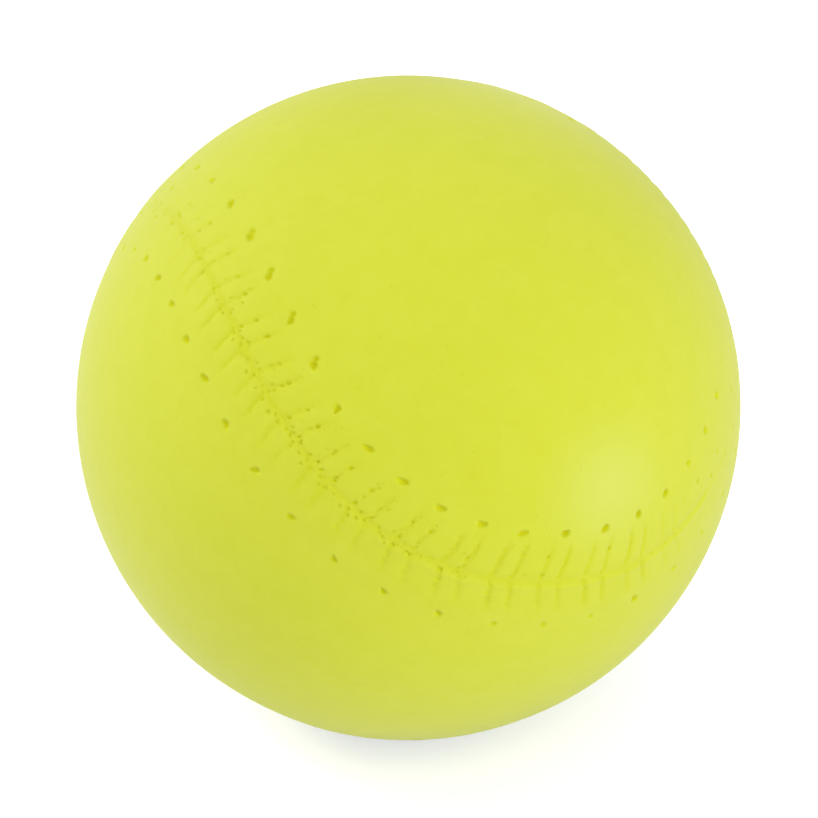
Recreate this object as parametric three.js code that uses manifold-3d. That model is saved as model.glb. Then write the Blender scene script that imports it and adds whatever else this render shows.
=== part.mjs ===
// Foam practice ball with a moulded baseball seam, in millimetres, +Z up.
// The ball is one foam moulding: a dense closed skin that formed against the mould, and a soft
// cellular core inside it. The seam, the stitches and the needle holes are relief in the skin.
// The origin is the centre of the ball, and the ball lies the way it came to rest on a table.

import * as THREE from "three";
import { mergeVertices } from "three/addons/utils/BufferGeometryUtils.js";
import Module from "manifold-3d";

const wasm = await Module();
wasm.setup();

// Driving dimensions of the moulding
const BALL_DIAMETER = 73;
const SKIN_THICKNESS = 2;
const CORE_CLEARANCE = 0.3;
const VENT_DIAMETER = 4.4;

// Course of the seam: the width of a panel's neck, and how far the lobes swing out
const NECK_WIDTH = 33.3;
const LOBE_SWING_DEGREES = 21.9;
const SEAM_GROOVE_WIDTH = 0.9;
const SEAM_GROOVE_DEPTH = 0.4;

// Stitches: a flat strap between two fine grooves on each side of the seam
const STITCHES_PER_QUARTER = 20;
const FIRST_STITCH = 3.12;
const STRAP_WIDTH = 2;
const STRAP_LENGTH = 3.9;
const STRAP_SETBACK = 0.95;
const STRAP_SWING = 1.4;
const STRAP_GROOVE_DEPTH = 0.16;

// Needle holes at the outer ends of the stitches
const HOLE_REACH = 5.08;
const HOLE_WIDTH = 1.2;
const HOLE_DEPTH = 1;

// The way the ball lies, as turns about its X, then Y, then Z axis
const LIE_DEGREES = [-46, -38.4, -164.7];

// Fineness of the mesh
const SEAM_TABLE_STEPS = 4000;
const TANGENT_STEP = 0.0005;
const PANEL_STRIPS = 5;
const SPINE_DEGREES = 104;
const INNER_BALL_DETAIL = 7;
const VENT_SIDES = 24;

// Sizes worked out from the driving dimensions
const BALL_RADIUS = BALL_DIAMETER / 2;
const HOLLOW_RADIUS = BALL_RADIUS - SKIN_THICKNESS;
const CORE_RADIUS = HOLLOW_RADIUS - CORE_CLEARANCE;
const VENT_RADIUS = VENT_DIAMETER / 2;
const STUB_RADIUS = VENT_RADIUS - CORE_CLEARANCE;
const NECK_HALF_ANGLE = NECK_WIDTH / BALL_DIAMETER;
const STITCH_COUNT = 4 * STITCHES_PER_QUARTER;

// The seam's line on a ball of radius 1. Its latitude swings twice from neck to neck while its
// longitude goes once round, and a second wave in longitude opens the lobes.
class SeamLine extends THREE.Curve {
  getPoint(share, target = new THREE.Vector3()) {
    const turn = 4 * Math.PI * share;
    const latitude = (Math.PI / 2 - NECK_HALF_ANGLE) * Math.cos(turn);
    const swing = THREE.MathUtils.degToRad(LOBE_SWING_DEGREES) * Math.sin(2 * turn);
    const longitude = turn / 2 + swing;
    return target.set(
      Math.cos(latitude) * Math.cos(longitude),
      Math.cos(latitude) * Math.sin(longitude),
      Math.sin(latitude),
    );
  }
}

const seamLine = new SeamLine();
seamLine.arcLengthDivisions = SEAM_TABLE_STEPS;
const SEAM_LENGTH = seamLine.getLength() * BALL_RADIUS;
const PITCH = SEAM_LENGTH / STITCH_COUNT;

// Unit vector to the seam at a share of its length, which wraps round
function seamPoint(share) {
  return seamLine.getPointAt(share - Math.floor(share)).normalize();
}

// Unit vector to the point that lies across the seam from a place along it, both in millimetres
// on the ball's surface. Positive across is to the left of the way the seam runs.
function skinPoint(along, across) {
  const share = along / SEAM_LENGTH;
  const point = seamPoint(share);
  const ahead = seamPoint(share + TANGENT_STEP).sub(seamPoint(share - TANGENT_STEP));
  const sideways = new THREE.Vector3().crossVectors(point, ahead).normalize();
  const angle = across / BALL_RADIUS;
  return point.multiplyScalar(Math.cos(angle)).addScaledVector(sideways, Math.sin(angle));
}

// Distances across from the seam to the rows of relief, out to the rim of the needle holes
const ROWS = [
  { across: 0, seam: 1 },
  { across: SEAM_GROOVE_WIDTH / 2, strapGroove: 1 },
  { across: STRAP_LENGTH, strapGroove: 0.6 },
  { across: HOLE_REACH - HOLE_WIDTH / 2 },
  { across: HOLE_REACH, hole: 1 },
  { across: HOLE_REACH + HOLE_WIDTH / 2 },
];

// Lines of a stitch along the seam: the plain gap, the strap's edge grooves and its middle
const LINES = [
  { along: -PITCH / 2 },
  { along: -STRAP_WIDTH / 2, strapGroove: 1 },
  { along: 0, hole: 1 },
  { along: STRAP_WIDTH / 2, strapGroove: 1 },
];

// How deep the skin is pressed in where a row and a line of a stitch meet
function depthAt(row, line) {
  return (
    SEAM_GROOVE_DEPTH * (row.seam ?? 0) +
    STRAP_GROOVE_DEPTH * (row.strapGroove ?? 0) * (line.strapGroove ?? 0) +
    HOLE_DEPTH * (row.hole ?? 0) * (line.hole ?? 0)
  );
}

// A closed ring of points on one side of the seam. The straps swing back towards the seam.
function reliefRing(row, side) {
  const ring = [];
  const reach = Math.max(0, 1 - row.across / HOLE_REACH);
  const setback = STRAP_SETBACK * Math.pow(reach, STRAP_SWING);
  for (let stitch = 0; stitch < STITCH_COUNT; stitch += 1) {
    for (const line of LINES) {
      const along = FIRST_STITCH + stitch * PITCH + line.along - setback;
      const radius = BALL_RADIUS - depthAt(row, line);
      ring.push(skinPoint(along, side * row.across).multiplyScalar(radius));
    }
  }
  return ring;
}

// The spine of a panel is the arc that its skin closes on, from lobe to lobe through the neck.
// Stitches that face each other across a panel share one point of it.
function spinePoint(stitch, side) {
  const facing = side > 0 ? STITCH_COUNT / 2 - stitch : -stitch;
  const wrapped = ((facing % STITCH_COUNT) + STITCH_COUNT) % STITCH_COUNT;
  const turn = (2 * Math.PI * Math.min(stitch, wrapped)) / STITCH_COUNT;
  const reach = THREE.MathUtils.degToRad(SPINE_DEGREES);
  const angle = reach * (side > 0 ? Math.sin(turn) : Math.cos(turn));
  return side > 0
    ? new THREE.Vector3(0, Math.sin(angle), Math.cos(angle))
    : new THREE.Vector3(Math.sin(angle), 0, -Math.cos(angle));
}

// A ring of one point a stitch, at a share of the way from the hole rim to the panel's spine
function panelRing(rimRing, side, share) {
  const ring = [];
  for (let stitch = 0; stitch < STITCH_COUNT; stitch += 1) {
    const from = rimRing[stitch * LINES.length].clone().normalize();
    const to = spinePoint(stitch, side);
    const angle = from.angleTo(to);
    const point = from
      .multiplyScalar(Math.sin((1 - share) * angle))
      .addScaledVector(to, Math.sin(share * angle));
    ring.push(point.setLength(BALL_RADIUS));
  }
  return ring;
}

// Collects triangles, turned to face outwards on either side of the seam
class SkinFaces {
  constructor() {
    this.positions = [];
  }

  add(a, b, c, side) {
    const corners = side > 0 ? [a, b, c] : [a, c, b];
    for (const corner of corners) {
      this.positions.push(corner.x, corner.y, corner.z);
    }
  }

  // Joins two rings that have the same count of points
  addStrip(inner, outer, side) {
    for (let i = 0; i < inner.length; i += 1) {
      const next = (i + 1) % inner.length;
      this.add(inner[i], inner[next], outer[next], side);
      this.add(inner[i], outer[next], outer[i], side);
    }
  }

  // Joins the fine rim of the stitches to the first ring of one point a stitch
  addFan(fine, coarse, side) {
    const lines = LINES.length;
    const middle = lines / 2;
    for (let stitch = 0; stitch < coarse.length; stitch += 1) {
      const next = (stitch + 1) % coarse.length;
      for (let line = 0; line < lines; line += 1) {
        const from = fine[stitch * lines + line];
        const to = fine[(stitch * lines + line + 1) % fine.length];
        this.add(from, to, line < middle ? coarse[stitch] : coarse[next], side);
      }
      this.add(fine[stitch * lines + middle], coarse[next], coarse[stitch], side);
    }
  }

  geometry() {
    const geometry = new THREE.BufferGeometry();
    geometry.setAttribute("position", new THREE.Float32BufferAttribute(this.positions, 3));
    return geometry;
  }
}

// The whole ball with its relief, as one closed surface
function ballGeometry() {
  const faces = new SkinFaces();
  for (const side of [1, -1]) {
    const rings = ROWS.map((row) => reliefRing(row, side));
    for (let row = 1; row < rings.length; row += 1) {
      faces.addStrip(rings[row - 1], rings[row], side);
    }
    const rim = rings.at(-1);
    let inner = panelRing(rim, side, 1 / PANEL_STRIPS);
    faces.addFan(rim, inner, side);
    for (let strip = 2; strip <= PANEL_STRIPS; strip += 1) {
      const outer = panelRing(rim, side, strip / PANEL_STRIPS);
      faces.addStrip(inner, outer, side);
      inner = outer;
    }
  }
  return faces.geometry();
}

// Turns a closed geometry into a solid, leaving out triangles that merging made into lines
function solidOf(geometry) {
  const bare = geometry.clone();
  for (const name of ["normal", "uv"]) {
    bare.deleteAttribute(name);
  }
  const merged = mergeVertices(bare);
  const index = merged.index.array;
  const kept = [];
  for (let i = 0; i < index.length; i += 3) {
    const [a, b, c] = index.slice(i, i + 3);
    if (a !== b && b !== c && c !== a) {
      kept.push(a, b, c);
    }
  }
  return new wasm.Manifold(
    new wasm.Mesh({
      numProp: 3,
      vertProperties: new Float32Array(merged.attributes.position.array),
      triVerts: new Uint32Array(kept),
    }),
  );
}

// Turns a solid back into a geometry
function geometryOf(solid) {
  const mesh = solid.getMesh();
  const geometry = new THREE.BufferGeometry();
  geometry.setAttribute("position", new THREE.BufferAttribute(mesh.vertProperties, 3));
  geometry.setIndex(new THREE.BufferAttribute(mesh.triVerts, 1));
  geometry.computeVertexNormals();
  return geometry;
}

// A round plug through the middle of a lobe, from one distance from the centre to another
function plugSolid(radius, from, to) {
  const geometry = new THREE.CylinderGeometry(radius, radius, to - from, VENT_SIDES);
  geometry.translate(0, -(from + to) / 2, 0);
  return solidOf(geometry);
}

// Dense skin, hollow inside, with the mould's vent cut off flush in the middle of a lobe
function mouldedSkin() {
  const hollow = solidOf(new THREE.IcosahedronGeometry(HOLLOW_RADIUS, INNER_BALL_DETAIL));
  const vent = plugSolid(VENT_RADIUS, CORE_RADIUS - SKIN_THICKNESS, BALL_RADIUS + SKIN_THICKNESS);
  const geometry = geometryOf(solidOf(ballGeometry()).subtract(hollow).subtract(vent));
  const material = new THREE.MeshStandardMaterial({
    color: 0xd6dd3f,
    roughness: 0.6,
    metalness: 0,
  });
  const mesh = new THREE.Mesh(geometry, material);
  mesh.name = "moulded_skin";
  return mesh;
}

// Cellular core that fills the skin, with the stub that rose into the vent
function foamCore() {
  const ball = solidOf(new THREE.IcosahedronGeometry(CORE_RADIUS, INNER_BALL_DETAIL));
  const rim = Math.sqrt(BALL_RADIUS ** 2 - VENT_RADIUS ** 2);
  const stub = plugSolid(STUB_RADIUS, CORE_RADIUS - SKIN_THICKNESS, rim);
  const geometry = geometryOf(ball.add(stub));
  const material = new THREE.MeshStandardMaterial({
    color: 0xdfe36a,
    roughness: 0.9,
    metalness: 0,
  });
  const mesh = new THREE.Mesh(geometry, material);
  mesh.name = "foam_core";
  return mesh;
}

const ball = new THREE.Group();
ball.add(mouldedSkin(), foamCore());
ball.rotation.set(...LIE_DEGREES.map(THREE.MathUtils.degToRad), "XYZ");

const part = new THREE.Group();
part.add(ball);

export default part;
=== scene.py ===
# %% [markdown]
# # A foam practice ball with a moulded baseball seam
# The real ball is one shot of polyurethane foam. It has no leather, thread or yarn: the seam, the
# stitches and the needle holes are all pressed into a dense skin, and soft cells fill the inside.
# This lesson dresses the imported model of that ball. The imported model is a fixed frame, so it is
# loaded first, and its box is printed.

import bpy
import numpy as np
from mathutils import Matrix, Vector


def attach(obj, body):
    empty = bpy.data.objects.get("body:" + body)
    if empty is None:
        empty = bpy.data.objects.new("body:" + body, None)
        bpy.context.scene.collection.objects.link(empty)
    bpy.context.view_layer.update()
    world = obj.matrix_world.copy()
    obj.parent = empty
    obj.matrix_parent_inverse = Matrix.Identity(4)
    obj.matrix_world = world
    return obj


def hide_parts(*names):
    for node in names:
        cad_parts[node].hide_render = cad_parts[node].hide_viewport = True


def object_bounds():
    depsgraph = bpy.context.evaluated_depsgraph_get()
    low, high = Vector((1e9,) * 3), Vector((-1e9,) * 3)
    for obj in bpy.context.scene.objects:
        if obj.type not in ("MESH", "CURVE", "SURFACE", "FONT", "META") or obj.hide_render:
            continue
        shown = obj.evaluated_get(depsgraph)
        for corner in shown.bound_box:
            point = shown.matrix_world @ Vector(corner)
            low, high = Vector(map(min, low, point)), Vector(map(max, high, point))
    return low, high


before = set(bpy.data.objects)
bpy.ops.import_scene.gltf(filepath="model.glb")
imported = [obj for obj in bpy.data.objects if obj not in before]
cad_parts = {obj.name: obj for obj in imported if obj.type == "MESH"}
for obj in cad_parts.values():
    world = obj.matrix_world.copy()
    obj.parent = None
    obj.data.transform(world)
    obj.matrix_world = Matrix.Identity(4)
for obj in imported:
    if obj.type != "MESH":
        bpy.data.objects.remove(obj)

cad_low, cad_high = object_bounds()
cad_size_mm = [round(1000 * side, 2) for side in cad_high - cad_low]
print("CAD box in mm:", cad_size_mm)

# %% [markdown]
# ## The driving sizes
# Every surface below is worked out in millimetres in the seam's own frame, where the relief is
# easiest to think about, and is turned and scaled to metres only when it becomes a mesh. The sizes
# are the mould's: the ball, the course of the seam, the straps and the holes.

# %% Sizes of the moulding in millimetres
METRES = 0.001
BALL_RADIUS = 36.5
SKIN_THICKNESS = 2.0
HOLLOW_RADIUS = BALL_RADIUS - SKIN_THICKNESS
CORE_CLEARANCE = 0.3
NECK_WIDTH = 33.3
LOBE_SWING = np.radians(21.9)
STITCH_COUNT = 80
FIRST_STITCH = 3.12
STRAP_WIDTH = 2.0
STRAP_SETBACK = 0.95
STRAP_SWING = 1.4
HOLE_REACH = 5.08
LIE = np.radians([-46.0, -38.4, -164.7])

# %% [markdown]
# ## The seam's line
# A baseball seam is a closed curve on a ball. It could be traced by hand, but two sine waves come
# very near it: the latitude swings from neck to neck twice while the longitude goes round once,
# and a small second wave in longitude opens the four lobes. A table of its length then lets
# stitches be placed by distance along the seam, as a needle would place them.

# %% The seam as a curve and a table of its length
NECK_HALF_ANGLE = NECK_WIDTH / (2 * BALL_RADIUS)


def seam_line(turn):
    """Unit vectors of the seam: latitude is the neck's latitude times the cosine of turn, and
    longitude is half of turn plus the lobe swing times the sine of twice turn."""
    latitude = (np.pi / 2 - NECK_HALF_ANGLE) * np.cos(turn)
    longitude = turn / 2 + LOBE_SWING * np.sin(2 * turn)
    east = np.cos(latitude) * np.cos(longitude)
    north = np.cos(latitude) * np.sin(longitude)
    return np.stack([east, north, np.sin(latitude)], axis=-1)


SEAM_TURNS = np.linspace(0, 4 * np.pi, 40001)
seam_steps = np.linalg.norm(np.diff(seam_line(SEAM_TURNS), axis=0), axis=1)
SEAM_TABLE = BALL_RADIUS * np.concatenate([[0], np.cumsum(seam_steps)])
SEAM_LENGTH = SEAM_TABLE[-1]
PITCH = SEAM_LENGTH / STITCH_COUNT
print(f"seam {SEAM_LENGTH:.1f} mm long, stitches {PITCH:.2f} mm apart")

# %% [markdown]
# ## A sheet of places on the skin
# Any place near the seam is given by two numbers: how far along the seam, and how far across from
# it. This function turns a whole grid of such pairs into points of the ball at once.


# %% Places along and across the seam
def skin_point(along, across):
    """Unit vectors: start at the seam's point at the distance along, then turn sideways, square to
    the seam, by the angle of across divided by the ball's radius."""
    tangent_step = 0.02
    turn = np.interp(along % SEAM_LENGTH, SEAM_TABLE, SEAM_TURNS)
    ahead = np.interp((along + tangent_step) % SEAM_LENGTH, SEAM_TABLE, SEAM_TURNS)
    point = seam_line(turn)
    sideways = np.cross(point, seam_line(ahead))
    sideways /= np.linalg.norm(sideways, axis=-1, keepdims=True)
    angle = np.asarray(across)[..., None] / BALL_RADIUS
    return point * np.cos(angle) + sideways * np.sin(angle)


def swung_back(across):
    """How far behind its needle hole a strap lies at a distance from the seam, in millimetres: the
    setback times the share of the way left to the hole, to the power of the swing."""
    left = np.clip(1 - np.abs(across) / HOLE_REACH, 0, 1)
    return STRAP_SETBACK * left**STRAP_SWING


# %% [markdown]
# ## Where the grid is fine
# An even grid fine enough for the pressed lines would waste most of its faces. Here the lines of
# the grid crowd where the relief is: along the two grooves of each strap, at the seam itself and
# round the needle holes. The crowding is a density that is summed and read backwards.


# %% Grid lines that crowd where the relief is
def bell(offset, spread):
    """A bell curve: 1 in the middle, and e to the minus square of offset over spread."""
    return np.exp(-((offset / spread) ** 2))


def crowded(start, end, count, peaks):
    """Places from start to end, closest together at the peaks: the running sum of a density of 1
    plus a bell curve at each peak, cut into equal shares and read back as places."""
    fine = np.linspace(start, end, 4001)
    density = np.ones_like(fine)
    for centre, width, height in peaks:
        density += height * bell(fine - centre, width)
    total = np.concatenate([[0], np.cumsum((density[1:] + density[:-1]) / 2)])
    return np.interp(np.linspace(0, total[-1], count), total, fine)


COLUMNS = 40
ROWS = 46
BAND_EDGE = 6.3
half_strap = STRAP_WIDTH / 2
STRAP_EDGES = (-half_strap, half_strap)
groove_peaks = [(edge, 0.3, 1.2) for edge in STRAP_EDGES]
stitch_columns = crowded(-PITCH / 2, PITCH / 2, COLUMNS + 1, groove_peaks)[:-1]
band_rows = crowded(0, BAND_EDGE, ROWS, [(0, 0.5, 1.0), (HOLE_REACH, 0.7, 0.6)])
for name, places in (("columns", stitch_columns), ("rows", band_rows)):
    print(f"{name} {np.diff(places).min():.3f} to {np.diff(places).max():.3f} mm apart")

# %% [markdown]
# ## Soft dimples
# Needle holes and burst gas bubbles are all soft round dimples. One function makes both. The
# smooth step keeps each rim rounded, as foam that never had a sharp edge in the mould.


# %% Smooth steps, windows and dimples
def smooth_step(low, high, value):
    """0 below low, 1 above high, and the cubic 3t^2 - 2t^3 of the share t between them."""
    t = np.clip((value - low) / (high - low), 0, 1)
    return t * t * (3 - 2 * t)


def window(first, last, soft, value):
    """1 between first and last and 0 outside, with smooth steps of the given softness."""
    rises = smooth_step(first - soft, first + soft, value)
    return rises * (1 - smooth_step(last - soft, last + soft, value))


def dimple(share_of_radius):
    """1 up to 0.15 of the radius, falling by a smooth step to nothing at 1.3 of it."""
    return 1 - smooth_step(0.15, 1.3, share_of_radius)


# %% [markdown]
# ## Where gas gathered
# Bubbles rise in the mould while the foam sets, so one side of the ball has many burst bubbles
# and blurred straps, and the rest prints crisply. The closer a stitch lies to that side's middle,
# the more gas its skin caught. At the side's border the gas only made the grooves ragged. At the
# left and the right the print is soft, and farther round it is firmer again. Other marks come back
# in each quarter of the seam, so every stitch also has its step in its quarter, 0 to 19.

# %% How much gas each stitch caught
ONE_EACH = (STITCH_COUNT, 1, 1)
QUARTER = STITCH_COUNT // 4
QUARTER_START = 5
LOBE_STEP = ((np.arange(STITCH_COUNT) - QUARTER_START) % QUARTER).reshape(ONE_EACH)


def turn_about(axis, angle):
    """The matrix that turns by angle about axis 0, 1 or 2, from cosine and sine."""
    one, two = [(1, 2), (2, 0), (0, 1)][axis]
    matrix = np.eye(3)
    matrix[one, one] = matrix[two, two] = np.cos(angle)
    matrix[one, two] = -np.sin(angle)
    matrix[two, one] = np.sin(angle)
    return matrix


def closeness(direction):
    """Cosine of the angle from each stitch to a direction of the ball as it lies."""
    unit = np.array(direction) / np.linalg.norm(direction)
    return (stitch_points @ unit).reshape(ONE_EACH)


def softness(low, high):
    """How near each stitch is to a soft print: a smooth step of its closeness, low to high."""
    return sum(smooth_step(low, high, closeness(way)) for way in SOFT_PRINTS)


LIE_MATRIX = turn_about(0, LIE[0]) @ turn_about(1, LIE[1]) @ turn_about(2, LIE[2])
GAS_RISE = (-0.72, -0.66, 0.12)
SOFT_PRINTS = ((1.0, 0.0, 0.1), (-0.95, 0.0, 0.3))
FRONT = (0.0, -0.94, 0.34)
stitch_places = FIRST_STITCH + PITCH * np.arange(STITCH_COUNT)
stitch_points = skin_point(stitch_places, np.zeros(STITCH_COUNT)) @ LIE_MATRIX.T
farther_round = 1 - smooth_step(0.2, 0.36, closeness(FRONT))
print_lost = 0.9 - 0.45 * farther_round
crisp = 1 - print_lost * softness(0.6, 0.79)
soft_line = softness(0.8, 0.9)
firm_line = 1 - print_lost * soft_line
gas = (0.3 + 0.7 * crisp) * smooth_step(0.4, 0.75, closeness(GAS_RISE))
ragged = crisp * window(0.4, 0.8, 0.08, closeness(GAS_RISE))
print(f"{np.count_nonzero(gas > 0.5)} stitches caught much gas")

# %% [markdown]
# ## Pressed relief of the stitches
# The relief is a depth for each place of one stitch. `u` runs along the seam from the middle of
# the strap, `v` runs outwards from the seam, and every array holds all 80 stitches at once. The
# grooves are broad and very shallow: the mould was cut with a round tool, and foam shrinks off it.


# %% Seam groove and strap grooves
SEAM_DEPTH = 0.1
SEAM_SPREAD = 0.42
GROOVE_DEPTH = 0.13
GROOVE_SPREAD = 0.32
BAND_HEIGHT = 0.08
LIP_HEIGHT = 0.09
CROWN_HEIGHT = 0.03


def seam_groove(v):
    """A soft round groove along the seam: a bell curve, weaker for most of each quarter and faint
    where the print is soft."""
    weaker = 1 - 0.3 * window(5.0, 18.5, 1.0, LOBE_STEP)
    return SEAM_DEPTH * firm_line * weaker * bell(v, SEAM_SPREAD)


def ripple(v, wave_lengths, phases):
    """A gentle irregular wave of about unit height: the mean of sines of v, each with its own
    length, with phases drawn for each stitch."""
    waves = [np.sin(2 * np.pi * v / w + phases[..., k]) for k, w in enumerate(wave_lengths)]
    return sum(waves) / len(waves)


def strap_grooves(u, v, side, draw):
    """Two soft grooves that edge a strap, each a bell curve across its wandering line. They fade
    at the seam, before the hole, where the print is soft and where gas gathered, and are ragged at
    that place's border."""
    reach = 3.75 if side > 0 else 3.1
    fade = smooth_step(0.0, 0.5, v) * (1 - smooth_step(reach - 0.9, reach + 0.7, v))
    firm = 1 - 0.25 * window(5.5, 9.5, 0.5, LOBE_STEP) - 0.14 * window(9.5, 18.5, 0.5, LOBE_STEP)
    printed = crisp * firm * (1 - (0.5 if side > 0 else 0.3) * gas)
    pressed = np.zeros(np.broadcast(u, v).shape)
    for edge in (-1, 1):
        phases = draw.uniform(0, 2 * np.pi, ONE_EACH + (6,))
        strength = draw.uniform(0.8, 1.2, ONE_EACH)
        wander = 0.07 * ripple(v, (3.1, 1.3), phases[..., :2])
        frayed = 0.12 * ragged * ripple(v, (0.62, 0.41), phases[..., 2:4])
        line = edge * half_strap + wander + frayed
        beads = 1 + (0.2 + 0.3 * ragged) * ripple(v, (0.8, 0.45), phases[..., 4:])
        across_line = bell(u - line, GROOVE_SPREAD)
        pressed += GROOVE_DEPTH * printed * strength * fade * beads * across_line
    return pressed


def raised(u, v, side):
    """The band of straps stands a little proud of the panels, and each strap a little prouder: a
    smooth step out of the band and a parabola across the strap. The outer row's band is higher in
    a third of each quarter. A low lip, a bell curve, follows the seam's outer side for half of
    each quarter and fades where the print is soft."""
    band = BAND_HEIGHT * (0.4 + 0.6 * crisp) * (1 - smooth_step(3.6, BAND_EDGE - 0.2, v))
    if side < 0:
        band = band * (1 + 0.7 * window(5.5, 11.5, 1.5, LOBE_STEP))
        lip = LIP_HEIGHT * window(8.5, 17.5, 1.0, LOBE_STEP) * (1 - soft_line)
        band = band + lip * bell(v - 0.8, 0.35)
    fade = smooth_step(0.2, 0.8, v) * (1 - smooth_step(3.0, 4.4, v))
    return band + CROWN_HEIGHT * crisp * fade * np.clip(1 - (u / half_strap) ** 2, 0, 1)


# %% [markdown]
# ## Needle holes
# The pins that press the holes leave them soft and uneven: ovals, lenses, commas and doubles. Each
# kind of pin is an oval head with a smaller round tail beside it. A row of twenty kinds serves a
# quarter of the seam, and comes round four times because the seam has four lobes.

# %% Kinds of pin
PINS = {
    "worn": (0.55, 0.36, -10, 0.00, 0.00, 0.10, 0.24),
    "oval": (0.50, 0.36, -30, -0.20, 0.22, 0.24, 0.32),
    "double": (0.48, 0.38, -25, -0.40, 0.44, 0.37, 0.32),
    "round": (0.43, 0.41, 0, 0.20, -0.35, 0.14, 0.30),
    "lens": (0.58, 0.34, 8, 0.48, 0.10, 0.22, 0.29),
    "deep": (0.42, 0.37, 12, 0.20, 0.12, 0.24, 0.42),
    "fading": (0.42, 0.36, 50, -0.12, 0.20, 0.18, 0.28),
    "leaning": (0.50, 0.37, -18, -0.30, 0.06, 0.18, 0.31),
    "split": (0.42, 0.33, -12, -0.42, 0.14, 0.28, 0.34),
    "comma": (0.37, 0.30, -45, -0.26, 0.32, 0.22, 0.29),
    "slim": (0.44, 0.33, -35, 0.00, 0.00, 0.10, 0.28),
    "small": (0.30, 0.30, 0, -0.18, -0.22, 0.18, 0.28),
    "faint": (0.30, 0.34, 0, 0.00, 0.00, 0.10, 0.20),
    "slit": (0.24, 0.40, -20, 0.00, 0.00, 0.10, 0.42),
}
INNER_PINS = "worn oval" + 4 * " double" + " round" + 5 * " lens" + 4 * " deep"
INNER_PINS += 2 * " fading" + 2 * " worn"
OUTER_PINS = "worn oval leaning leaning split leaning comma slim" + 3 * " small"
OUTER_PINS += 3 * " faint" + " slit" + 5 * " faint"


def pin_rows(side):
    """Seven arrays, one value for each stitch: half length and half width of the head, its tilt,
    how far along and outwards the tail lies, the tail's radius and the depth."""
    kinds = INNER_PINS if side > 0 else OUTER_PINS
    rows = np.array([PINS[kind] for kind in kinds.split()])
    return np.roll(np.tile(rows, (4, 1)), QUARTER_START, axis=0).T.reshape((7,) + ONE_EACH)


# %% [markdown]
# No two holes are quite alike, so each kind is turned, moved and stretched a little by chance, and
# its outline is made wavy. Towards the upper right the pins hardly reached the foam.

# %% Needle holes
SHALLOW_HOLES = (0.88, 0.0, 0.475)


def hole_reach(side):
    """Distance of the holes from the seam. The inner row was drilled a little off its line: nearer
    in the middle of each quarter and farther at its end."""
    if side < 0:
        return HOLE_REACH
    nearer = 0.2 * window(5.5, 13.5, 0.5, LOBE_STEP)
    return HOLE_REACH - nearer + 0.5 * smooth_step(13, 18, LOBE_STEP)


def needle_holes(u, v, side, draw):
    """The deeper of head and tail, faint near the shallow holes. The head's dimple has an oval and
    slightly wavy outline: its share is the length of the turned place over its half sizes, times
    one plus small sines of the bearing."""
    long, short, tilt, tail_u, tail_v, tail_radius, depth = pin_rows(side)
    turn = np.radians(tilt + draw.normal(0, 8, ONE_EACH))
    grown = draw.uniform(0.97, 1.15, ONE_EACH)
    du = u - draw.normal(0, 0.05, ONE_EACH)
    dv = v - hole_reach(side) - draw.normal(0, 0.05, ONE_EACH)
    ahead = (du * np.cos(turn) + dv * np.sin(turn)) / (long * grown)
    beside = (dv * np.cos(turn) - du * np.sin(turn)) / (short * grown)
    bearing = np.arctan2(beside, ahead)
    phases = draw.uniform(0, 2 * np.pi, ONE_EACH + (2,))
    wavy = 0.09 * np.sin(2 * bearing + phases[..., 0]) + 0.08 * np.sin(3 * bearing + phases[..., 1])
    head = dimple(np.hypot(ahead, beside) * (1 + wavy))
    tail = dimple(np.hypot(du - tail_u, dv - tail_v) / tail_radius)
    printed = 1 - 0.9 * smooth_step(0.86, 0.92, closeness(SHALLOW_HOLES))
    return 1.1 * depth * printed * np.maximum(head, 0.8 * tail)


# %% [markdown]
# ## Burst bubbles
# Small round bubbles broke at the mould's face, most of them on the pressed lines, where gas had
# nowhere to go. Each stitch gets the same slots, and gas decides which of them hold a bubble.


# %% Burst bubbles
def bubble_slots(side):
    """Rows of (u, v, spread of u, spread of v, radius, chance) where round bubbles like to sit:
    the ends, feet and middles of the strap grooves, the seam, then anywhere on the inner side."""
    inner = side > 0
    ends = [(e, 2.4, 0.07, 0.14, 0.24, 0.92) for e in STRAP_EDGES if inner]
    feet = [(e + 0.1, 0.5, 0.14, 0.12, 0.19, 0.85) for e in STRAP_EDGES]
    middles = [(e, 1.5, 0.1, 0.3, 0.17, 0.75 if inner else 0.12) for e in STRAP_EDGES]
    seam = [(s, 0.35, 0.3, 0.3, 0.16, 0.62) for s in (-2.1, -1.4, -0.7, 0.0, 0.7, 1.4, 2.0)]
    strays = [(s, 1.5, 0.4, 0.8, 0.13, 0.5) for s in (-1.6, -0.6, 0.6, 1.6) if inner]
    return ends + feet + middles + seam + strays


def ragged_slots(side):
    """Rows like those of the round bubbles, for the small ones that fray the grooves."""
    heights = (0.9, 1.2, 1.5, 1.8, 2.1, 2.4, 2.7, 3.0, 3.3) if side > 0 else (0.6, 1.4)
    return [(e, h, 0.2, 0.1, 0.1, 0.7) for e in STRAP_EDGES for h in heights]


def burst_bubbles(u, v, slots, likely, draw, lag):
    """The deepest of the dimples of all slots that hold a bubble, no bubble reaching the next
    stitch's cell. The places u are those of the straps, which lie back by the lag."""
    pressed = np.zeros(np.broadcast(u, v).shape, np.float32)
    for mid_u, mid_v, spread_u, spread_v, mid_radius, chance in slots:
        place_u = draw.normal(mid_u, spread_u, ONE_EACH)
        radius = mid_radius * draw.uniform(0.8, 1.25, ONE_EACH)
        place_v = np.maximum(draw.normal(mid_v, spread_v, ONE_EACH), radius)
        room = PITCH / 2 - 1.2 * radius
        place_u = np.clip(place_u, lag - room, lag + room)
        present = draw.random(ONE_EACH) < chance * likely
        distance = np.hypot(u - place_u, v - place_v)
        pressed = np.maximum(pressed, (0.06 + 0.75 * radius) * present * dimple(distance / radius))
    return pressed


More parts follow.
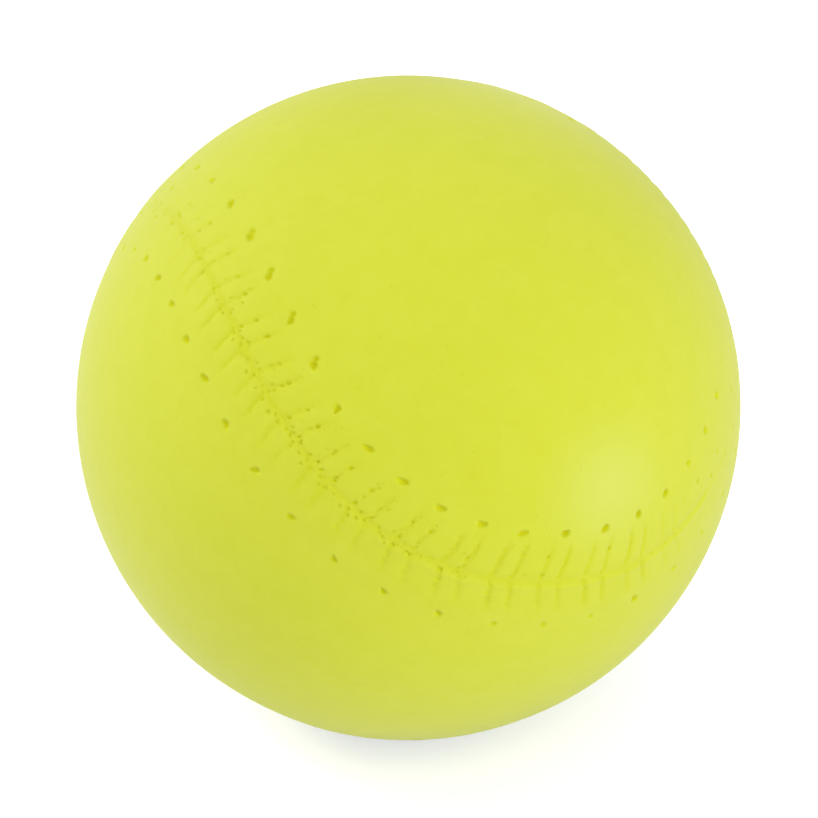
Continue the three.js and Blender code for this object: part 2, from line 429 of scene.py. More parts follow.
# %% [markdown]
# Some gas never made bubbles to be seen one by one, only pores. Where those gather is told by a
# third value beside depth and height, and the material draws the pores from it.

# %% Airy places and the whole relief
def airiness(u, v, side):
    """Share of pores: bell curves round the grooves and the seam, each times the raggedness or gas
    of its stitch."""
    near_groove = sum(bell(u - edge, 0.34) for edge in STRAP_EDGES)
    near_groove = near_groove * window(0.3, 3.6 if side > 0 else 2.6, 0.3, v)
    near_seam = bell(v, 0.6)
    strong = ragged * (1.0 if side > 0 else 0.4) + 0.45 * gas
    return np.clip(strong * near_groove + 0.7 * gas * near_seam, 0, 1)


def relief_of(side):
    """Depth, height and airiness over all stitches on one side of the seam, stitch by column by
    row. The straps of half of each quarter lie a little farther back than the rest."""
    draw = np.random.default_rng(100 + side)
    u = np.broadcast_to(stitch_columns, (STITCH_COUNT, COLUMNS))[:, :, None]
    v = band_rows[None, None, :]
    lag = 0.4 - 0.35 * smooth_step(5.5, 11.5, LOBE_STEP)
    strap_u = u + lag
    grooves = seam_groove(v) + strap_grooves(strap_u, v, side, draw)
    holes = needle_holes(u, v, side, draw)
    round_ones = burst_bubbles(strap_u, v, bubble_slots(side), 0.1 + 0.9 * gas, draw, lag)
    fraying = burst_bubbles(strap_u, v, ragged_slots(side), ragged, draw, lag)
    pits = np.maximum(np.maximum(round_ones, fraying), holes)
    heights = raised(strap_u, v, side)
    depths = np.maximum(grooves, pits) + 0.3 * np.minimum(grooves, pits)
    return np.stack([depths, heights, airiness(strap_u, v, side)], axis=-1)


# %% [markdown]
# ## Rings that grow into a closed skin
# The band along the seam is a stack of closed rings of points. Beyond it each panel of the ball
# is plain, so the rings halve their points three times and then close on the panel's spine, the
# arc that runs from lobe to lobe through the neck. Stitches that face each other across a panel
# share a point of the spine, and that closes the skin with no pole and no gap.


# %% A surface that collects rings and faces
class Surface:
    """Points and faces of one piece. A ring is an array of point numbers."""

    def __init__(self):
        self.points = []
        self.relief = []
        self.count = 0
        self.quads = []
        self.triangles = []

    def add_ring(self, points, relief=(0.0, 0.0, 0.0)):
        """Stores points, each with its depth, height and airiness, and gives their numbers."""
        self.points.append(points)
        self.relief.append(np.broadcast_to(relief, (len(points), 3)).astype(float))
        self.count += len(points)
        return np.arange(self.count - len(points), self.count)

    def join(self, inner, outer, outwards=True):
        """Quads between two rings of like count, each quad joining neighbours on both."""
        quads = np.stack([inner, np.roll(inner, -1), np.roll(outer, -1), outer], axis=1)
        self.quads.append(quads if outwards else quads[:, ::-1])

    def halve(self, fine, coarse, outwards=True):
        """Three triangles for each step of a ring with half as many points."""
        a, b, c = fine[0::2], fine[1::2], np.roll(fine, -2)[0::2]
        d, e = coarse, np.roll(coarse, -1)
        corners = [(a, b, d), (b, e, d), (b, c, e)]
        triangles = np.concatenate([np.stack(t, axis=1) for t in corners])
        self.triangles.append(triangles if outwards else triangles[:, ::-1])

    def close(self):
        """Turns the lists of points, relief, quads and triangles into single arrays."""
        self.points = np.concatenate(self.points)
        self.relief = np.concatenate(self.relief)
        self.quads = np.concatenate(self.quads)
        self.triangles = np.concatenate(self.triangles + [np.zeros((0, 3), int)])
        return self


# %% [markdown]
# The spine runs along the middle of a panel in a plane that cuts the ball in two. It ends short of
# the lobes' tips, so that the last rings don't crowd there.

# %% The spine of a panel
SPINE_REACH = np.radians(104)
PANEL_ROWS = 22


def spine_angle(share, side):
    """Angle along the spine from the neck: a blend of a sine wave and a triangle wave of the share
    of the seam's length, so that it slows down at the lobes without stopping."""
    turn = 2 * np.pi * share if side > 0 else 2 * np.pi * share + np.pi / 2
    triangle = 2 / np.pi * np.arcsin(np.sin(turn))
    return SPINE_REACH * (0.75 * np.sin(turn) + 0.25 * triangle)


def spine_point(share, side):
    """Unit vectors of the spine, in the plane that cuts the panel in two."""
    angle = spine_angle(share, side)
    nought = np.zeros_like(angle)
    if side > 0:
        return np.stack([nought, np.sin(angle), np.cos(angle)], axis=1)
    return np.stack([np.sin(angle), nought, -np.cos(angle)], axis=1)


def spine_numbers(count, side):
    """For a ring of count points, the number of the first point that shares each spine point."""
    number = np.arange(count)
    facing = (count // 2 - number) % count if side > 0 else (count - number) % count
    return np.minimum(number, facing)


def between(start, end, share):
    """Points on the great circle from start to end: the sine rule for equal steps of angle."""
    angle = np.arccos(np.clip(np.sum(start * end, axis=1), -1, 1))[:, None]
    return (np.sin((1 - share) * angle) * start + np.sin(share * angle) * end) / np.sin(angle)


# %% [markdown]
# ## The trimmed vent
# Foam rises into a vent of the mould, and the stub is cut off flush. The skin has a round opening
# there, 4.4 mm across, in the middle of a lobe on the hidden side. A hole could be cut with a
# boolean, which is slow on so many faces. Here a small block of grid cells is left out, and the
# points round it are pushed along their bearings until the block's edge is a circle.

# %% The vent's place and its ring
VENT_RADIUS = 2.2
VENT_RIM = 0.22
PANEL_COLUMNS = 5 * STITCH_COUNT
BLOCK_HALF = 4
spine_shares = np.arange(PANEL_COLUMNS) / PANEL_COLUMNS
third_quarter = (spine_shares > 0.5) & (spine_shares < 0.75)
to_vent = np.abs(spine_angle(spine_shares, 1) + np.pi / 2)
VENT_COLUMN = int(np.argmin(np.where(third_quarter, to_vent, np.inf)))


def vent_block():
    """Columns of the block on either side of the spine that the vent takes out."""
    near = np.arange(VENT_COLUMN - BLOCK_HALF, VENT_COLUMN + BLOCK_HALF + 1)
    far = (PANEL_COLUMNS // 2 - near[::-1]) % PANEL_COLUMNS
    return near, far


def vent_polar(points):
    """Distance over the ball from the vent's centre, in millimetres, and bearing round it. The
    vent's axis is minus y."""
    distance = BALL_RADIUS * np.arccos(np.clip(-points[:, 1], -1, 1))
    return distance, np.arctan2(points[:, 2], points[:, 0])


def circle_points(radius, height, bearing):
    """Points of a circle round the vent's axis, at a height over the ball's centre."""
    level = -height * np.ones_like(bearing)
    return np.stack([radius * np.cos(bearing), level, radius * np.sin(bearing)], axis=-1)


def vent_place(distance, bearing):
    """The unit vectors at a distance over the ball and a bearing round the vent's centre."""
    angle = np.asarray(distance) / BALL_RADIUS
    return circle_points(np.sin(angle), np.cos(angle), bearing)


# %% [markdown]
# ## One function for both faces of the skin
# The outer face carries the relief. The inner face is plain and coarse, but it has the same panels
# and the same vent, so one function makes both, and the vent's wall joins them ring by ring.


# %% Build a closed face of the skin with the vent left open
def panel_of(surface, ring, points, side, shares, halvings, outwards):
    """Closes one panel from its rim to its spine. Gives the last ring before the spine and the
    spine's ring, in which facing columns share a point."""
    for row, share in enumerate(shares):
        if row < halvings:
            points = points[::2]
        columns = np.arange(len(points)) / len(points)
        target = spine_point(columns, side)
        if row < len(shares) - 1:
            new = surface.add_ring(between(points, target, share))
        else:
            firsts, back = np.unique(spine_numbers(len(points), side), return_inverse=True)
            before = ring
            new = surface.add_ring(target[firsts])[back]
        link = surface.halve if row < halvings else surface.join
        link(ring, new, outwards)
        ring = new
    return before, ring


def skin_face(columns, rows, relief, shares, halvings, facing_out):
    """One face of the skin: the band on both sides of the seam, then the two panels. Gives the
    surface and the loop of point numbers round the vent."""
    surface = Surface()
    places = (stitch_places[:, None] + columns[None, :]).ravel()

    def band_ring(side, row):
        """The points of one row of the band, and their numbers."""
        across = np.full(len(places), side * rows[row])
        points = skin_point(places - swung_back(rows[row]), across)
        return points, surface.add_ring(points, relief[side][:, :, row].reshape(-1, 3))

    middle = band_ring(1, 0)[1]
    for side in (1, -1):
        outwards = (side > 0) == facing_out
        ring = middle
        for row in range(1, len(rows)):
            points, new = band_ring(side, row)
            surface.join(ring, new, outwards)
            ring = new
        before, spine = panel_of(surface, ring, points, side, shares, halvings, outwards)
        if side > 0:
            near, far = vent_block()
            inside = np.concatenate([near[:-1], far[:-1]])
            surface.quads[-1] = np.delete(surface.quads[-1], inside, axis=0)
            loop = [before[near], spine[near[-1:]], before[far], spine[near[:1]]]
    return surface.close(), np.concatenate(loop)


# %% [markdown]
# The outer face is built with its full relief. Waves much longer than a stitch, a few hundredths
# of a millimetre high, keep it from being a perfect ball, as soft foam never is.

# %% The outer face with its relief
SWELL = 0.012
band_relief = {side: relief_of(side) for side in (1, -1)}
panel_shares = (np.arange(1, PANEL_ROWS + 1) / PANEL_ROWS) ** 1.4
outer, outer_loop = skin_face(stitch_columns, band_rows, band_relief, panel_shares, 3, True)
print("outer face:", len(outer.points), "points", len(outer.quads), "quads")


def long_waves(directions):
    """Millimetres of gentle swell: sines of the places along a few drawn directions."""
    waves = np.random.default_rng(5).normal(0, 1, (7, 3))
    lengths = np.linspace(3.0, 9.0, 7)
    phases = np.linspace(0, 5, 7)
    waves *= (lengths / np.linalg.norm(waves, axis=1))[:, None]
    return SWELL * np.sin(directions @ waves.T + phases).sum(axis=1)


# %% [markdown]
# The block's edge has only 20 points, too few for a round hole. It becomes a circle somewhat wider
# than the vent, and two narrower rings with twice and four times the points lead in to the rim.


# %% Open the vent on a face
VENT_PUSH_REACH = 9.0
LOOP_RADIUS = VENT_RADIUS + 1.2
MIDDLE_RADIUS = VENT_RADIUS + 0.4


def open_vent(face, loop):
    """Moves points along their bearing so that the loop falls on a circle. The move fades by a
    smooth step from the whole of it at the loop to nothing at the reach."""
    distance, bearing = vent_polar(face.points)
    edge = np.interp(bearing, bearing[loop], distance[loop], period=2 * np.pi)
    moved = distance + (LOOP_RADIUS - edge) * smooth_step(VENT_PUSH_REACH, edge, distance)
    near = (distance < VENT_PUSH_REACH) & (distance > edge - 1e-6)
    face.points[near] = vent_place(moved[near], bearing[near])


def finer_ring(surface, points, ring, radius, ball, swell, outwards):
    """A ring of twice the points on a circle round the vent's axis, joined to the coarser one.
    Bearings between the coarse ring's are halfway. It lies on a ball, with the long waves or
    without them as the swell is 1 or 0."""
    bearing = np.unwrap(np.arctan2(points[:, 2], points[:, 0]))
    way = 2 * np.pi * np.sign(bearing[-1] - bearing[0])
    nexts = np.append(bearing[1:], bearing[0] + way)
    finer = np.stack([bearing, (bearing + nexts) / 2], axis=1).ravel()
    place = vent_place(BALL_RADIUS * np.arcsin(radius / ball), finer)
    new_points = (ball + swell * long_waves(place))[:, None] * place
    new = surface.add_ring(new_points)
    surface.halve(new, ring, not outwards)
    return new_points, new


open_vent(outer, outer_loop)
inner_columns = stitch_columns[:: COLUMNS // 5]
inner_rows = np.array([0.0, 2.0, 4.0, BAND_EDGE])
inner_shares = panel_shares[[3, 7, 11, 15, 18, 20, 21]]
plain = np.zeros((STITCH_COUNT, len(inner_columns), len(inner_rows), 3))
inner, inner_loop = skin_face(
    inner_columns, inner_rows, {1: plain, -1: plain}, inner_shares, 0, False
)
open_vent(inner, inner_loop)
print("inner face:", len(inner.points), "points; vent ring:", len(outer_loop), "points")

# %% [markdown]
# ## From arrays to a mesh
# The two faces and the vent's wall become one closed mesh. Blender takes loops of corners, so the
# quads and triangles are written with foreach_set in one go. The relief's depth goes along as an
# attribute, so that the material knows where the skin is pressed in and paints shade there.


# %% Write arrays into a mesh
def placed(name, data):
    """A new object of the scene, at the origin."""
    thing = bpy.data.objects.new(name, data)
    bpy.context.scene.collection.objects.link(thing)
    return thing


def mesh_object(name, surface):
    """A mesh object at the origin, turned to the way the ball lies, in metres."""
    quads, triangles = surface.quads, surface.triangles
    corners = np.concatenate([quads.ravel(), triangles.ravel()])
    used, corners = np.unique(corners, return_inverse=True)
    points, relief = surface.points[used], surface.relief[used]
    sizes = np.repeat([4, 3], [len(quads), len(triangles)])
    starts = np.cumsum(sizes) - sizes
    mesh = bpy.data.meshes.new(name)
    mesh.vertices.add(len(points))
    mesh.vertices.foreach_set("co", (METRES * points @ LIE_MATRIX.T).astype(np.float32).ravel())
    mesh.loops.add(len(corners))
    mesh.loops.foreach_set("vertex_index", corners.ravel().astype(np.int32))
    mesh.polygons.add(len(starts))
    mesh.polygons.foreach_set("loop_start", starts.astype(np.int32))
    mesh.update(calc_edges=True)
    mesh.polygons.foreach_set("use_smooth", np.ones(len(starts), bool))
    for name_of, column in (("pressed", 0), ("airy", 2)):
        layer = mesh.attributes.new(name_of, "FLOAT", "POINT")
        layer.data.foreach_set("value", relief[:, column].astype(np.float32))
    mesh.validate()
    return placed(name, mesh)


# %% [markdown]
# The mould formed the vent's wall too, so its rim is rounded like any other edge of the skin. The
# wall's rings step inwards and down over the rim, and then go straight down to the hollow.


# %% Join the two faces through the vent
WALL_STEPS = ((0.09, 0.03), (0.02, 0.1), (0.0, 0.25), (0.0, 1.1))


def vent_wall(surface, ring, low_ring):
    """Two finer rings lead from the outer loop to a rounded rim. The wall drops straight to the
    hollow, where two coarser rings meet the inner loop. Each of its steps tells how much wider
    than the vent and how much lower than the rim it lies."""
    points, low_points = [np.concatenate(surface.points)[part] for part in (ring, low_ring)]
    for radius in (MIDDLE_RADIUS, VENT_RADIUS + VENT_RIM):
        points, ring = finer_ring(surface, points, ring, radius, BALL_RADIUS, 1, True)
    bearing, height = np.arctan2(points[:, 2], points[:, 0]), -points[:, 1]
    for radius in (MIDDLE_RADIUS, VENT_RADIUS):
        low_points, low_ring = finer_ring(
            surface, low_points, low_ring, radius, HOLLOW_RADIUS, 0, False
        )
    for wider, lower in WALL_STEPS:
        radius = VENT_RADIUS + wider
        place = circle_points(radius, height - lower, bearing)
        # The wall's drop goes along as depth, so the material paints shade down the vent's wall.
        new = surface.add_ring(place, (lower, 0.0, 0.0))
        surface.join(ring, new, True)
        ring = new
    surface.join(ring, low_ring, True)


outer_radius = BALL_RADIUS - outer.relief[:, 0] + outer.relief[:, 1] + long_waves(outer.points)
skin = Surface()
skin.add_ring(outer.points * outer_radius[:, None], outer.relief)
skin.add_ring(inner.points * HOLLOW_RADIUS)
skin.quads += [outer.quads, inner.quads + len(outer.points)]
skin.triangles += [outer.triangles, inner.triangles + len(outer.points)]
vent_wall(skin, outer_loop, inner_loop + len(outer.points))
moulded_skin = mesh_object("foam_skin_shell", skin.close())
print("skin:", 2 * len(skin.quads) + len(skin.triangles), "triangles")

# %% [markdown]
# ## The foam core
# The core is the same foam, but open-celled, and it shows only at the vent, where the stub was
# cut. It is a shape turned about the vent's axis: a ball that runs up into the stub. The cut face
# is rough with cells, made as dimples of many sizes on a fine round grid.

# %% The core as a turned profile
CORE_RADIUS = HOLLOW_RADIUS - CORE_CLEARANCE
STUB_RADIUS = VENT_RADIUS - CORE_CLEARANCE
CUT_LEVEL = np.sqrt(BALL_RADIUS**2 - VENT_RADIUS**2)
CORE_COLUMNS = 144


def core_profile():
    """Radius and height of the turned profile from the far pole to the middle of the cut face."""
    foot = np.arcsin(STUB_RADIUS / CORE_RADIUS)
    angle = np.linspace(np.pi, foot, 60)[1:]
    ball = np.stack([CORE_RADIUS * np.sin(angle), CORE_RADIUS * np.cos(angle)], axis=1)
    levels = np.linspace(CORE_RADIUS * np.cos(foot), CUT_LEVEL - 0.1, 12)[1:]
    stub = np.stack([np.full(len(levels), STUB_RADIUS), levels], axis=1)
    rim = [(STUB_RADIUS - 0.03, CUT_LEVEL - 0.03), (STUB_RADIUS - 0.1, CUT_LEVEL)]
    cut = np.linspace(STUB_RADIUS - 0.1, 0.06, 34)[1:]
    face = np.stack([cut, np.full(len(cut), CUT_LEVEL)], axis=1)
    return np.concatenate([ball, stub, rim, face])


def cell_depths(x, z):
    """Depth of open cells at places of the cut face: the deepest of many drawn dimples."""
    cell_rng = np.random.default_rng(11)
    depth = np.zeros_like(x)
    for _ in range(150):
        middle = cell_rng.uniform(-STUB_RADIUS, STUB_RADIUS, 2)
        size = cell_rng.uniform(0.07, 0.2)
        distance = np.hypot(x - middle[0], z - middle[1])
        depth = np.maximum(depth, 0.9 * size * dimple(distance / size))
    return depth


def core_surface():
    """Turns the profile about the vent's axis, closes both poles and sinks the cells."""
    around = 2 * np.pi * np.arange(CORE_COLUMNS) / CORE_COLUMNS
    surface = Surface()
    rings = []
    for radius, height in core_profile():
        x, z = radius * np.cos(around), radius * np.sin(around)
        depth = cell_depths(x, z) if height > CUT_LEVEL - 0.05 else np.zeros_like(x)
        # The cells' depth goes along, so that the material paints shade in them.
        relief = depth[:, None] * np.array([1.0, 0.0, 0.0])
        rings.append(surface.add_ring(circle_points(radius, height - depth, around), relief))
    for ring, new in zip(rings, rings[1:]):
        surface.join(ring, new)
    poles = surface.add_ring(np.array([[0.0, CORE_RADIUS, 0.0], [0.0, -CUT_LEVEL, 0.0]]))
    for pole, ring in zip(poles, (rings[0][::-1], rings[-1])):
        corners = [ring, np.roll(ring, -1), np.full(CORE_COLUMNS, pole)]
        surface.triangles.append(np.stack(corners, axis=1))
    return surface.close()


core = core_surface()
foam_core = mesh_object("foam_cell_core", core)
print("core:", 2 * len(core.quads) + len(core.triangles), "triangles")

# %% [markdown]
# ## Nodes by function
# A finish is a tree of nodes. They could be wired by hand, but written as calls they read like the
# formula that they are. Each helper adds one node and gives its result.


# %% Node helpers
def linked(tree, kind, inputs=None, **settings):
    """Adds a node, sets its properties and its inputs, and links inputs that are sockets. Gives
    the node's outputs. The nodes stand in columns of three."""
    column, row = divmod(len(tree.nodes), 3)
    node = tree.nodes.new(kind)
    node.location = (200 * column, -300 * row)
    for name, value in settings.items():
        setattr(node, name, value)
    for name, value in (inputs or {}).items():
        if isinstance(value, bpy.types.NodeSocket):
            tree.links.new(value, node.inputs[name])
        else:
            node.inputs[name].default_value = value
    return node.outputs


def maths(tree, operation, *values):
    """The result of a math node."""
    inputs = dict(enumerate(values))
    return linked(tree, "ShaderNodeMath", inputs, operation=operation)[0]


def ramp(tree, value, low, high, start=0.0, end=1.0, kind="LINEAR"):
    """Start where the value is low, end where it is high, and a line or smooth step between."""
    inputs = {"Value": value, "From Min": low, "From Max": high, "To Min": start, "To Max": end}
    return linked(tree, "ShaderNodeMapRange", inputs, interpolation_type=kind)["Result"]


def blend(tree, share, first, second):
    """A mix of two colours, with the share of the second."""
    inputs = {"Factor": share, "A": first, "B": second}
    return linked(tree, "ShaderNodeMix", inputs, data_type="RGBA")["Result"]


def emptied_tree(owner):
    """The node tree of a new material or world, without its first nodes."""
    owner.use_nodes = True
    owner.node_tree.nodes.clear()
    return owner.node_tree


# %% [markdown]
# ## A shared grain and shared pores
# Both finishes need the fine grain that a mould and tiny cells leave. It is a node group, built
# once and used with its own size in each material. It gives a height for a bump and a mottle for
# the colour. A second group makes the small pores of airy places.


# %% The grain group and the pores group
def number_group(name, entries, results):
    """A node group of numbers. Gives the group, its entries and the object coordinates."""
    group = bpy.data.node_groups.new(name, "ShaderNodeTree")
    for way, sockets in (("INPUT", entries), ("OUTPUT", results)):
        for socket in sockets:
            group.interface.new_socket(socket, in_out=way, socket_type="NodeSocketFloat")
    given = linked(group, "NodeGroupInput")
    place = linked(group, "ShaderNodeTexCoord")["Object"]
    return group, given, place


def grain_group():
    """Fine and middling noise on object coordinates, as a height and a mottle."""
    group, given, place = number_group("foam_grain", ["Scale"], ["Height", "Mottle"])
    fine = {"Vector": place, "Scale": given["Scale"], "Detail": 3.0, "Roughness": 0.65}
    fine = linked(group, "ShaderNodeTexNoise", fine)["Fac"]
    slower = maths(group, "MULTIPLY", given["Scale"], 0.11)
    broad = {"Vector": place, "Scale": slower, "Detail": 4.0, "Roughness": 0.75}
    broad = linked(group, "ShaderNodeTexNoise", broad)["Fac"]
    linked(group, "NodeGroupOutput", {"Height": fine, "Mottle": broad})
    return group


def pores_group():
    """Small round pores. Space is cut into cells, each with a drawn value; a cell below the airy
    share holds a pore, a smooth step of the distance from the cell's middle."""
    group, given, place = number_group("foam_pores", ["Airy"], ["Pores"])
    cells = linked(group, "ShaderNodeTexVoronoi", {"Vector": place, "Scale": 3800.0})
    limit = ramp(group, given["Airy"], 0.0, 1.0, 0.1, 0.62)
    present = maths(group, "LESS_THAN", cells["Color"], limit)
    pore = ramp(group, cells["Distance"], 0.12, 0.38, 1.0, 0.0, "SMOOTHSTEP")
    pores = maths(group, "MULTIPLY", present, pore)
    linked(group, "NodeGroupOutput", {"Pores": pores})
    return group


foam_grain, foam_pores = grain_group(), pores_group()
print("node groups:", foam_grain.name, "and", foam_pores.name)

# %% [markdown]
# ## The skin's finish
# The skin is fluorescent yellow-green, satin, and so evenly lit by its own scatter that the relief
# shows mostly by colour: pressed places get painted shade, a deeper, purer yellow without the white
# sheen. The depth attribute drives that painted shade, and the grain gives a faint mottle and a
# fine
# bump. One place has a painted sheen: it is a little paler, a soft round patch as wide as a thumb.

# %% Skin material
# A painted sheen: a paler, whiter round patch of the skin's colour stands in for a soft highlight.
PAINTED_SHEEN_PLACE = np.array([18.9, -31.0, 3.2])
PAINTED_SHEEN_REACH = 9.0
SKIN_TINT = (0.66, 0.71, 0.022, 1)
MOTTLE_TINT = (0.714, 0.764, 0.058, 1)
PAINTED_SHEEN_TINT = (0.715, 0.775, 0.112, 1)
# Tints of painted shade for pressed places and for the deepest places.
PRESSED_SHADE_TINT = (0.645, 0.685, 0.0005, 1)
DEEPEST_SHADE_TINT = (0.665, 0.665, 0.0005, 1)


def grain_and_depth(tree, scale):
    """The outputs of the grain group at a scale, and the depth that the mesh carries."""
    grain = linked(tree, "ShaderNodeGroup", {"Scale": scale}, node_tree=foam_grain)
    return grain, linked(tree, "ShaderNodeAttribute", attribute_name="pressed")["Fac"]


def foam_shader(tree, height, strength, distance, look):
    """Ends a foam finish: a fine bump of so many millimetres, a shader and the output."""
    bump = {"Height": height, "Strength": strength, "Distance": distance * METRES}
    bump = linked(tree, "ShaderNodeBump", bump)["Normal"]
    shader = linked(tree, "ShaderNodeBsdfPrincipled", {"Normal": bump, **look})["BSDF"]
    linked(tree, "ShaderNodeOutputMaterial", {"Surface": shader})


def painted_sheen_patch(tree):
    """1 at the place of the painted sheen, falling by a smooth step to nothing at its reach."""
    ends = {0: linked(tree, "ShaderNodeTexCoord")["Object"], 1: tuple(PAINTED_SHEEN_PLACE * METRES)}
    away = linked(tree, "ShaderNodeVectorMath", ends, operation="DISTANCE")["Value"]
    return ramp(tree, away, 0.0, PAINTED_SHEEN_REACH * METRES, 1.0, 0.0, "SMOOTHSTEP")


def skin_material():
    """Satin foam skin, with painted shade in pressed places and in the pores of airy ones."""
    material = bpy.data.materials.new("foam_skin_finish")
    tree = emptied_tree(material)
    grain, depth = grain_and_depth(tree, 3500.0)
    mottled = blend(tree, grain["Mottle"], SKIN_TINT, MOTTLE_TINT)
    # Painted sheen: the skin is paler and whiter round one place.
    with_painted_sheen = blend(tree, painted_sheen_patch(tree), mottled, PAINTED_SHEEN_TINT)
    airy = linked(tree, "ShaderNodeAttribute", attribute_name="airy")["Fac"]
    pores = linked(tree, "ShaderNodeGroup", {"Airy": airy}, node_tree=foam_pores)["Pores"]
    # Painted shade: pores and pressed places get a darker, purer tint, and the deepest places a
    # darker one still.
    pore_shade = maths(tree, "MULTIPLY", pores, 0.75)
    pressed = ramp(tree, depth, 0.0, 0.19)
    painted_shade_share = maths(tree, "MAXIMUM", pressed, pore_shade)
    shade_tinted = blend(tree, painted_shade_share, with_painted_sheen, PRESSED_SHADE_TINT)
    deep = ramp(tree, depth, 0.15, 0.32)
    deepest = blend(tree, deep, shade_tinted, DEEPEST_SHADE_TINT)
    sunk = maths(tree, "MULTIPLY_ADD", pores, -2.5, grain["Height"])
    satin = {"Roughness": 0.65, "Specular IOR Level": 0.15}
    sheen = {"Sheen Weight": 0.24, "Sheen Roughness": 0.5}
    foam_shader(tree, sunk, 0.5, 0.03, {"Base Color": deepest, **satin, **sheen})
    return material


moulded_skin.data.materials.append(skin_material())

# %% [markdown]
# ## The core's finish
# Cut foam is paler and quite matt, because its cells scatter the light. Deep cells get painted
# shade, a darker, richer tint.

# %% Core material
CUT_TINT = (0.74, 0.76, 0.14, 1)
CELL_SHADE_TINT = (0.58, 0.60, 0.03, 1)


def core_material():
    """Matt cut foam, paler than the skin, with painted shade in its cells."""
    material = bpy.data.materials.new("foam_cells_finish")
    tree = emptied_tree(material)
    grain, depth = grain_and_depth(tree, 9000.0)
    shade_tinted = blend(tree, ramp(tree, depth, 0.0, 0.15), CUT_TINT, CELL_SHADE_TINT)
    foam_shader(tree, grain["Height"], 0.8, 0.06, {"Base Color": shade_tinted, "Roughness": 0.9})
    return material


foam_core.data.materials.append(core_material())

# %% [markdown]
# ## Ride on the body and replace the plain solids
# Both pieces ride on the only body and replace their plain solids.

# %% Ride and replace
for piece, node, finish in (
    (moulded_skin, "moulded_skin", "foam_skin"),
    (foam_core, "foam_core", "foam_cells"),
):
    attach(piece, "root")
    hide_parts(node)

# %% [markdown]
# ## The floor
# The ball lies on a white sweep. The floor looks white to the camera by a glow that only camera,
# mirror and glass rays see, so it adds no light to the ball and keeps the ball's soft shadow. The
# glow is bluish near the ball, where it makes up for the yellow light that the ball throws down.


# %% Floor
def seen_rays(tree):
    """1 for camera, mirror and glass rays, and 0 for the rays that light the ball."""
    rays = linked(tree, "ShaderNodeLightPath")
    mirrored = maths(tree, "MAXIMUM", rays["Is Camera Ray"], rays["Is Glossy Ray"])
    return maths(tree, "MAXIMUM", mirrored, rays["Is Transmission Ray"])


def floor_material():
    """White floor: plain diffuse plus the glow for the rays that are seen, and clear from below.
    The glow turns from bluish to white between 0.15 and 0.5 metres from the ball."""
    material = bpy.data.materials.new("white_floor")
    tree = emptied_tree(material)
    lift = maths(tree, "MULTIPLY", seen_rays(tree), 0.615)
    place = linked(tree, "ShaderNodeTexCoord")["Object"]
    away = linked(tree, "ShaderNodeVectorMath", {0: place}, operation="LENGTH")["Value"]
    far = ramp(tree, away, 0.15, 0.5)
    tint = blend(tree, far, (0.79, 0.79, 1, 1), (1, 1, 1, 1))
    glow = linked(tree, "ShaderNodeEmission", {"Color": tint, "Strength": lift})[0]
    matt = linked(tree, "ShaderNodeBsdfDiffuse", {"Color": (0.9, 0.9, 0.9, 1)})[0]
    both = linked(tree, "ShaderNodeAddShader", {0: glow, 1: matt})[0]
    clear = linked(tree, "ShaderNodeBsdfTransparent")[0]
    below = linked(tree, "ShaderNodeNewGeometry")["Backfacing"]
    floor = linked(tree, "ShaderNodeMixShader", {"Fac": below, 1: both, 2: clear})[0]
    linked(tree, "ShaderNodeOutputMaterial", {"Surface": floor})
    return material


FLOOR_REACH = 3.0
floor_level = -BALL_RADIUS * METRES
floor_mesh = bpy.data.meshes.new("floor_sweep")
corners = [(-1, -1), (1, -1), (1, 1), (-1, 1)]
floor_points = [(FLOOR_REACH * x, FLOOR_REACH * y, floor_level) for x, y in corners]
floor_mesh.from_pydata(floor_points, [], [(0, 1, 2, 3)])
floor_mesh.materials.append(floor_material())
floor_sweep = placed("floor_sweep", floor_mesh)

# %% [markdown]
# ## World and lamps
# The photograph's light is soft and comes from all round. An even white world gives most of it.
# Three soft lamps above shade the ball gently, and two low cards brighten its lower sides.


# %% World and lamps
def white_world(strength):
    """An even white surround. It looks fully white to the camera, in gloss and through glass, and
    lights the ball with the given strength."""
    world = bpy.data.worlds.new("white_surround")
    tree = emptied_tree(world)
    level = ramp(tree, seen_rays(tree), 0.0, 1.0, strength, 1.0)
    back = linked(tree, "ShaderNodeBackground", {"Color": (1, 1, 1, 1), "Strength": level})[0]
    linked(tree, "ShaderNodeOutputWorld", {"Surface": back})
    bpy.context.scene.world = world


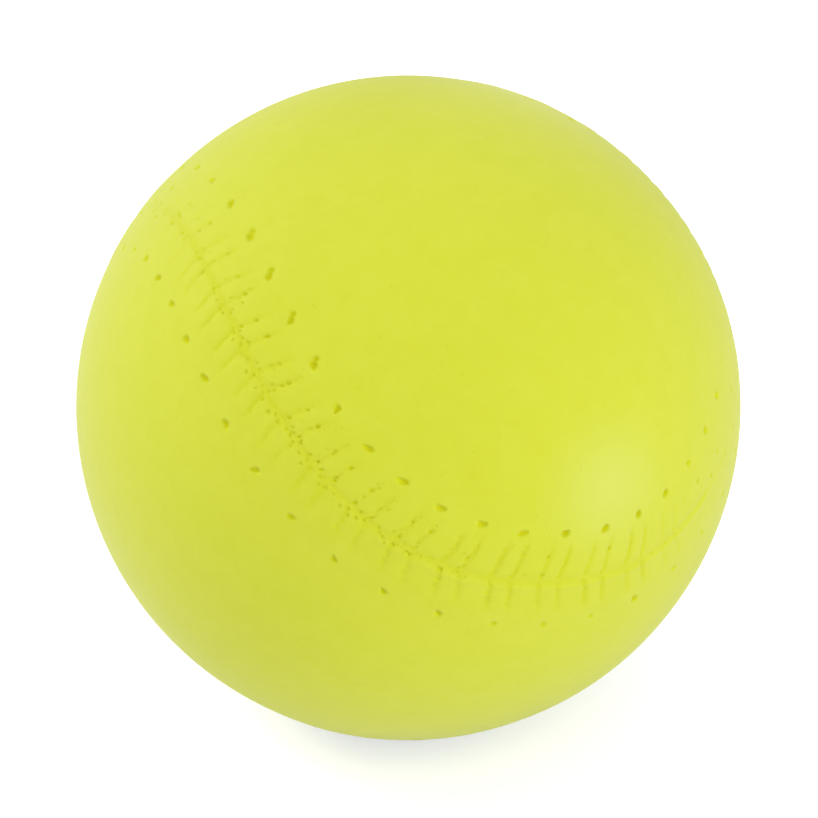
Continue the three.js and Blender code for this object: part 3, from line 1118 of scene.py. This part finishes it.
def aimed(name, data, azimuth, elevation, distance):
    """A lamp or camera that faces the ball from an azimuth and elevation in degrees."""
    a, e = np.radians(azimuth), np.radians(elevation)
    thing = placed(name, data)
    thing.location = distance * np.array([np.sin(a) * np.cos(e), -np.cos(a) * np.cos(e), np.sin(e)])
    thing.rotation_euler = thing.location.to_track_quat("Z", "Y").to_euler()
    return thing


def soft_lamp(name, azimuth, elevation, distance, width, height, watts):
    """A rectangular area lamp that faces the ball. Lengths are in metres."""
    data = bpy.data.lights.new(name, "AREA")
    data.shape = "RECTANGLE"
    data.size = width
    data.size_y = height
    data.energy = watts
    aimed(name, data, azimuth, elevation, distance)


white_world(0.46)
soft_lamp("left_softbox", -100, 40, 1.0, 0.5, 0.5, 3.6)
soft_lamp("front_softbox", 10, 40, 1.0, 0.5, 0.5, 2.25)
soft_lamp("top_softbox", 25, 78, 1.0, 0.5, 0.5, 0.9)
soft_lamp("left_low_card", -80, 3, 0.5, 0.2, 0.08, 0.12)
soft_lamp("right_low_card", 60, 3, 0.5, 0.2, 0.08, 0.6)

# %% [markdown]
# ## The camera
# The camera stands where the photograph was taken: in front, 20 degrees up, at a distance that
# gives the seam the photograph's perspective, with the lens that gives the ball its size.

# %% Camera
CAMERA_ELEVATION = 20
CAMERA_DISTANCE = 178.3
FRAME_PIXELS = 818
FOCAL_PIXELS = 1588.5
BALL_CENTRE_PIXELS = (407.82, 406.93)
SENSOR_WIDTH = 36.0
optics = bpy.data.cameras.new("camera")
optics.sensor_width = SENSOR_WIDTH
optics.lens = SENSOR_WIDTH * FOCAL_PIXELS / FRAME_PIXELS
optics.shift_x = (FRAME_PIXELS / 2 - 0.5 - BALL_CENTRE_PIXELS[0]) / FRAME_PIXELS
optics.shift_y = (BALL_CENTRE_PIXELS[1] - FRAME_PIXELS / 2 + 0.5) / FRAME_PIXELS
optics.clip_start = 0.01
camera = aimed("camera", optics, 0, CAMERA_ELEVATION, CAMERA_DISTANCE * METRES)
bpy.context.scene.camera = camera
bpy.context.scene.view_settings.view_transform = "Standard"
